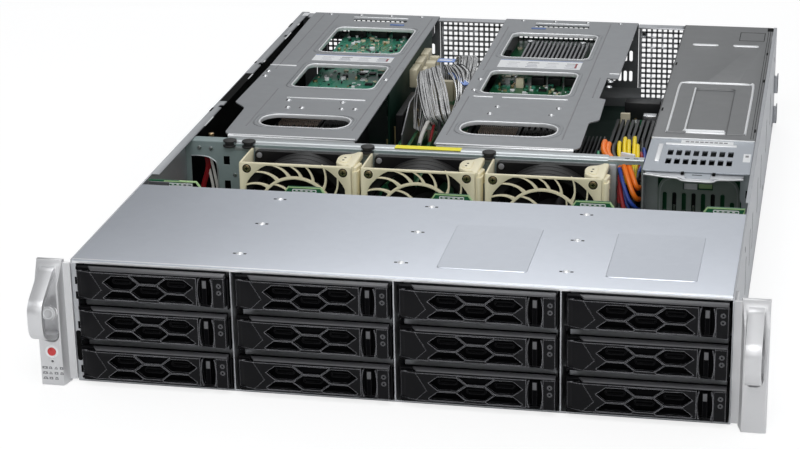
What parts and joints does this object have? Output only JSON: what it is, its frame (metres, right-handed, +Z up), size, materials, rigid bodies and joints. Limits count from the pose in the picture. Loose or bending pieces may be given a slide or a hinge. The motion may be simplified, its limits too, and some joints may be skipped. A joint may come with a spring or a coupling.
{
  "type": "rack server",
  "caption": "Rack-mounted server, rear cover off, with front drive trays and swing levers, lift-out fans and riser cages, and sliding power supplies.",
  "frame": {"origin": "The middle of the chassis floor's underside, halfway across the body and halfway along it.", "axes": "X runs to the server's right as seen from the front, Y from the drive front to the rear, Z up from the floor."},
  "size_m": [0.4826, 0.701, 0.0889],
  "materials": {
    "chassis_steel": "zinc-plated sheet steel, satin, with faint spangle",
    "cover_steel": "zinc-plated cover sheet, bluish, satin",
    "riser_steel": "zinc-plated sheet steel, mid grey, satin",
    "supply_cover_steel": "zinc-plated sheet steel, mid grey, satin",
    "ear_metal": "bright nickel-plated die casting",
    "power_red": "translucent red button cap",
    "board_green": "green solder mask on glass-fibre board",
    "lead_silver": "silver-grey ribbon leads and coloured power leads",
    "supply_steel": "zinc-plated supply case",
    "latch_green": "moulded release latch",
    "fan_ivory": "ivory moulded fan carrier",
    "rotor_black": "black moulded rotor",
    "carrier_black": "black moulded tray bezel",
    "lever_black": "black moulded lever",
    "release_black": "dark grey moulded button"
  },
  "bodies": {
    "chassis": {"chassis_base": "chassis_steel", "rear_panel": "chassis_steel", "drive_bay_cover": "cover_steel", "drive_backplane": "board_green", "fan_wall": "chassis_steel", "left_ear": "ear_metal", "right_ear": "ear_metal", "motherboard": "board_green", "supply_cover": "supply_cover_steel", "power_board": "board_green", "cables": "lead_silver"},
    "drive_carrier_1": {"drive_carrier_1": "carrier_black"},
    "drive_lever_1": {"drive_lever_1": "lever_black"},
    "drive_release_1": {"drive_release_1": "release_black"},
    "drive_carrier_2": {"drive_carrier_2": "carrier_black"},
    "drive_lever_2": {"drive_lever_2": "lever_black"},
    "drive_release_2": {"drive_release_2": "release_black"},
    "drive_carrier_3": {"drive_carrier_3": "carrier_black"},
    "drive_lever_3": {"drive_lever_3": "lever_black"},
    "drive_release_3": {"drive_release_3": "release_black"},
    "drive_carrier_4": {"drive_carrier_4": "carrier_black"},
    "drive_lever_4": {"drive_lever_4": "lever_black"},
    "drive_release_4": {"drive_release_4": "release_black"},
    "drive_carrier_5": {"drive_carrier_5": "carrier_black"},
    "drive_lever_5": {"drive_lever_5": "lever_black"},
    "drive_release_5": {"drive_release_5": "release_black"},
    "drive_carrier_6": {"drive_carrier_6": "carrier_black"},
    "drive_lever_6": {"drive_lever_6": "lever_black"},
    "drive_release_6": {"drive_release_6": "release_black"},
    "drive_carrier_7": {"drive_carrier_7": "carrier_black"},
    "drive_lever_7": {"drive_lever_7": "lever_black"},
    "drive_release_7": {"drive_release_7": "release_black"},
    "drive_carrier_8": {"drive_carrier_8": "carrier_black"},
    "drive_lever_8": {"drive_lever_8": "lever_black"},
    "drive_release_8": {"drive_release_8": "release_black"},
    "drive_carrier_9": {"drive_carrier_9": "carrier_black"},
    "drive_lever_9": {"drive_lever_9": "lever_black"},
    "drive_release_9": {"drive_release_9": "release_black"},
    "drive_carrier_10": {"drive_carrier_10": "carrier_black"},
    "drive_lever_10": {"drive_lever_10": "lever_black"},
    "drive_release_10": {"drive_release_10": "release_black"},
    "drive_carrier_11": {"drive_carrier_11": "carrier_black"},
    "drive_lever_11": {"drive_lever_11": "lever_black"},
    "drive_release_11": {"drive_release_11": "release_black"},
    "drive_carrier_12": {"drive_carrier_12": "carrier_black"},
    "drive_lever_12": {"drive_lever_12": "lever_black"},
    "drive_release_12": {"drive_release_12": "release_black"},
    "fan_module_1": {"fan_module_1": "fan_ivory"},
    "fan_rotor_1": {"fan_rotor_1": "rotor_black"},
    "fan_module_2": {"fan_module_2": "fan_ivory"},
    "fan_rotor_2": {"fan_rotor_2": "rotor_black"},
    "fan_module_3": {"fan_module_3": "fan_ivory"},
    "fan_rotor_3": {"fan_rotor_3": "rotor_black"},
    "left_riser": {"left_riser": "riser_steel"},
    "right_riser": {"right_riser": "riser_steel"},
    "power_supply_1": {"power_supply_1": "supply_steel"},
    "supply_latch_1": {"supply_latch_1": "latch_green"},
    "power_supply_2": {"power_supply_2": "supply_steel"},
    "supply_latch_2": {"supply_latch_2": "latch_green"},
    "power_button": {"power_button": "power_red"}
  },
  "joints": [
    {"name": "carrier_slide_1", "type": "slide", "parent": "chassis", "child": "drive_carrier_1", "axis": [0, -1, 0], "range_m": [0, 0.16]},
    {"name": "lever_swing_1", "type": "hinge", "parent": "drive_carrier_1", "child": "drive_lever_1", "pos_m": [-0.2103, -0.3278, 0.0162], "axis": [0, 0, -1], "range_deg": [0, 60]},
    {"name": "release_press_1", "type": "slide", "parent": "drive_carrier_1", "child": "drive_release_1", "axis": [0, 1, 0], "range_m": [0, 0.0015], "stiffness_N_per_m": 250},
    {"name": "carrier_slide_2", "type": "slide", "parent": "chassis", "child": "drive_carrier_2", "axis": [0, -1, 0], "range_m": [0, 0.16]},
    {"name": "lever_swing_2", "type": "hinge", "parent": "drive_carrier_2", "child": "drive_lever_2", "pos_m": [-0.2103, -0.3278, 0.0448], "axis": [0, 0, -1], "range_deg": [0, 60]},
    {"name": "release_press_2", "type": "slide", "parent": "drive_carrier_2", "child": "drive_release_2", "axis": [0, 1, 0], "range_m": [0, 0.0015], "stiffness_N_per_m": 250},
    {"name": "carrier_slide_3", "type": "slide", "parent": "chassis", "child": "drive_carrier_3", "axis": [0, -1, 0], "range_m": [0, 0.16]},
    {"name": "lever_swing_3", "type": "hinge", "parent": "drive_carrier_3", "child": "drive_lever_3", "pos_m": [-0.2103, -0.3278, 0.0734], "axis": [0, 0, -1], "range_deg": [0, 60]},
    {"name": "release_press_3", "type": "slide", "parent": "drive_carrier_3", "child": "drive_release_3", "axis": [0, 1, 0], "range_m": [0, 0.0015], "stiffness_N_per_m": 250},
    {"name": "carrier_slide_4", "type": "slide", "parent": "chassis", "child": "drive_carrier_4", "axis": [0, -1, 0], "range_m": [0, 0.16]},
    {"name": "lever_swing_4", "type": "hinge", "parent": "drive_carrier_4", "child": "drive_lever_4", "pos_m": [-0.1013, -0.3278, 0.0162], "axis": [0, 0, -1], "range_deg": [0, 60]},
    {"name": "release_press_4", "type": "slide", "parent": "drive_carrier_4", "child": "drive_release_4", "axis": [0, 1, 0], "range_m": [0, 0.0015], "stiffness_N_per_m": 250},
    {"name": "carrier_slide_5", "type": "slide", "parent": "chassis", "child": "drive_carrier_5", "axis": [0, -1, 0], "range_m": [0, 0.16]},
    {"name": "lever_swing_5", "type": "hinge", "parent": "drive_carrier_5", "child": "drive_lever_5", "pos_m": [-0.1013, -0.3278, 0.0448], "axis": [0, 0, -1], "range_deg": [0, 60]},
    {"name": "release_press_5", "type": "slide", "parent": "drive_carrier_5", "child": "drive_release_5", "axis": [0, 1, 0], "range_m": [0, 0.0015], "stiffness_N_per_m": 250},
    {"name": "carrier_slide_6", "type": "slide", "parent": "chassis", "child": "drive_carrier_6", "axis": [0, -1, 0], "range_m": [0, 0.16]},
    {"name": "lever_swing_6", "type": "hinge", "parent": "drive_carrier_6", "child": "drive_lever_6", "pos_m": [-0.1013, -0.3278, 0.0734], "axis": [0, 0, -1], "range_deg": [0, 60]},
    {"name": "release_press_6", "type": "slide", "parent": "drive_carrier_6", "child": "drive_release_6", "axis": [0, 1, 0], "range_m": [0, 0.0015], "stiffness_N_per_m": 250},
    {"name": "carrier_slide_7", "type": "slide", "parent": "chassis", "child": "drive_carrier_7", "axis": [0, -1, 0], "range_m": [0, 0.16]},
    {"name": "lever_swing_7", "type": "hinge", "parent": "drive_carrier_7", "child": "drive_lever_7", "pos_m": [0.0077, -0.3278, 0.0162], "axis": [0, 0, -1], "range_deg": [0, 60]},
    {"name": "release_press_7", "type": "slide", "parent": "drive_carrier_7", "child": "drive_release_7", "axis": [0, 1, 0], "range_m": [0, 0.0015], "stiffness_N_per_m": 250},
    {"name": "carrier_slide_8", "type": "slide", "parent": "chassis", "child": "drive_carrier_8", "axis": [0, -1, 0], "range_m": [0, 0.16]},
    {"name": "lever_swing_8", "type": "hinge", "parent": "drive_carrier_8", "child": "drive_lever_8", "pos_m": [0.0077, -0.3278, 0.0448], "axis": [0, 0, -1], "range_deg": [0, 60]},
    {"name": "release_press_8", "type": "slide", "parent": "drive_carrier_8", "child": "drive_release_8", "axis": [0, 1, 0], "range_m": [0, 0.0015], "stiffness_N_per_m": 250},
    {"name": "carrier_slide_9", "type": "slide", "parent": "chassis", "child": "drive_carrier_9", "axis": [0, -1, 0], "range_m": [0, 0.16]},
    {"name": "lever_swing_9", "type": "hinge", "parent": "drive_carrier_9", "child": "drive_lever_9", "pos_m": [0.0077, -0.3278, 0.0734], "axis": [0, 0, -1], "range_deg": [0, 60]},
    {"name": "release_press_9", "type": "slide", "parent": "drive_carrier_9", "child": "drive_release_9", "axis": [0, 1, 0], "range_m": [0, 0.0015], "stiffness_N_per_m": 250},
    {"name": "carrier_slide_10", "type": "slide", "parent": "chassis", "child": "drive_carrier_10", "axis": [0, -1, 0], "range_m": [0, 0.16]},
    {"name": "lever_swing_10", "type": "hinge", "parent": "drive_carrier_10", "child": "drive_lever_10", "pos_m": [0.1167, -0.3278, 0.0162], "axis": [0, 0, -1], "range_deg": [0, 60]},
    {"name": "release_press_10", "type": "slide", "parent": "drive_carrier_10", "child": "drive_release_10", "axis": [0, 1, 0], "range_m": [0, 0.0015], "stiffness_N_per_m": 250},
    {"name": "carrier_slide_11", "type": "slide", "parent": "chassis", "child": "drive_carrier_11", "axis": [0, -1, 0], "range_m": [0, 0.16]},
    {"name": "lever_swing_11", "type": "hinge", "parent": "drive_carrier_11", "child": "drive_lever_11", "pos_m": [0.1167, -0.3278, 0.0448], "axis": [0, 0, -1], "range_deg": [0, 60]},
    {"name": "release_press_11", "type": "slide", "parent": "drive_carrier_11", "child": "drive_release_11", "axis": [0, 1, 0], "range_m": [0, 0.0015], "stiffness_N_per_m": 250},
    {"name": "carrier_slide_12", "type": "slide", "parent": "chassis", "child": "drive_carrier_12", "axis": [0, -1, 0], "range_m": [0, 0.16]},
    {"name": "lever_swing_12", "type": "hinge", "parent": "drive_carrier_12", "child": "drive_lever_12", "pos_m": [0.1167, -0.3278, 0.0734], "axis": [0, 0, -1], "range_deg": [0, 60]},
    {"name": "release_press_12", "type": "slide", "parent": "drive_carrier_12", "child": "drive_release_12", "axis": [0, 1, 0], "range_m": [0, 0.0015], "stiffness_N_per_m": 250},
    {"name": "fan_lift_1", "type": "slide", "parent": "chassis", "child": "fan_module_1", "axis": [0, 0, 1], "range_m": [0, 0.09]},
    {"name": "rotor_spin_1", "type": "hinge", "parent": "fan_module_1", "child": "fan_rotor_1", "pos_m": [-0.1205, -0.08, 0.0446], "axis": [0, 1, 0], "continuous": true},
    {"name": "fan_lift_2", "type": "slide", "parent": "chassis", "child": "fan_module_2", "axis": [0, 0, 1], "range_m": [0, 0.09]},
    {"name": "rotor_spin_2", "type": "hinge", "parent": "fan_module_2", "child": "fan_rotor_2", "pos_m": [-0.027, -0.08, 0.0446], "axis": [0, 1, 0], "continuous": true},
    {"name": "fan_lift_3", "type": "slide", "parent": "chassis", "child": "fan_module_3", "axis": [0, 0, 1], "range_m": [0, 0.09]},
    {"name": "rotor_spin_3", "type": "hinge", "parent": "fan_module_3", "child": "fan_rotor_3", "pos_m": [0.0665, -0.08, 0.0446], "axis": [0, 1, 0], "continuous": true},
    {"name": "left_riser_lift", "type": "slide", "parent": "chassis", "child": "left_riser", "axis": [0, 0, 1], "range_m": [0, 0.09]},
    {"name": "right_riser_lift", "type": "slide", "parent": "chassis", "child": "right_riser", "axis": [0, 0, 1], "range_m": [0, 0.09]},
    {"name": "supply_slide_1", "type": "slide", "parent": "chassis", "child": "power_supply_1", "axis": [0, 1, 0], "range_m": [0, 0.32]},
    {"name": "latch_press_1", "type": "hinge", "parent": "power_supply_1", "child": "supply_latch_1", "pos_m": [0.2105, 0.318, 0.021], "axis": [0, 0, 1], "range_deg": [0, 12], "stiffness_Nm_per_rad": 0.03},
    {"name": "supply_slide_2", "type": "slide", "parent": "chassis", "child": "power_supply_2", "axis": [0, 1, 0], "range_m": [0, 0.32]},
    {"name": "latch_press_2", "type": "hinge", "parent": "power_supply_2", "child": "supply_latch_2", "pos_m": [0.2105, 0.318, 0.062], "axis": [0, 0, 1], "range_deg": [0, 12], "stiffness_Nm_per_rad": 0.03},
    {"name": "power_press", "type": "slide", "parent": "chassis", "child": "power_button", "axis": [0, 1, 0], "range_m": [0, 0.0015], "stiffness_N_per_m": 250}
  ]
}
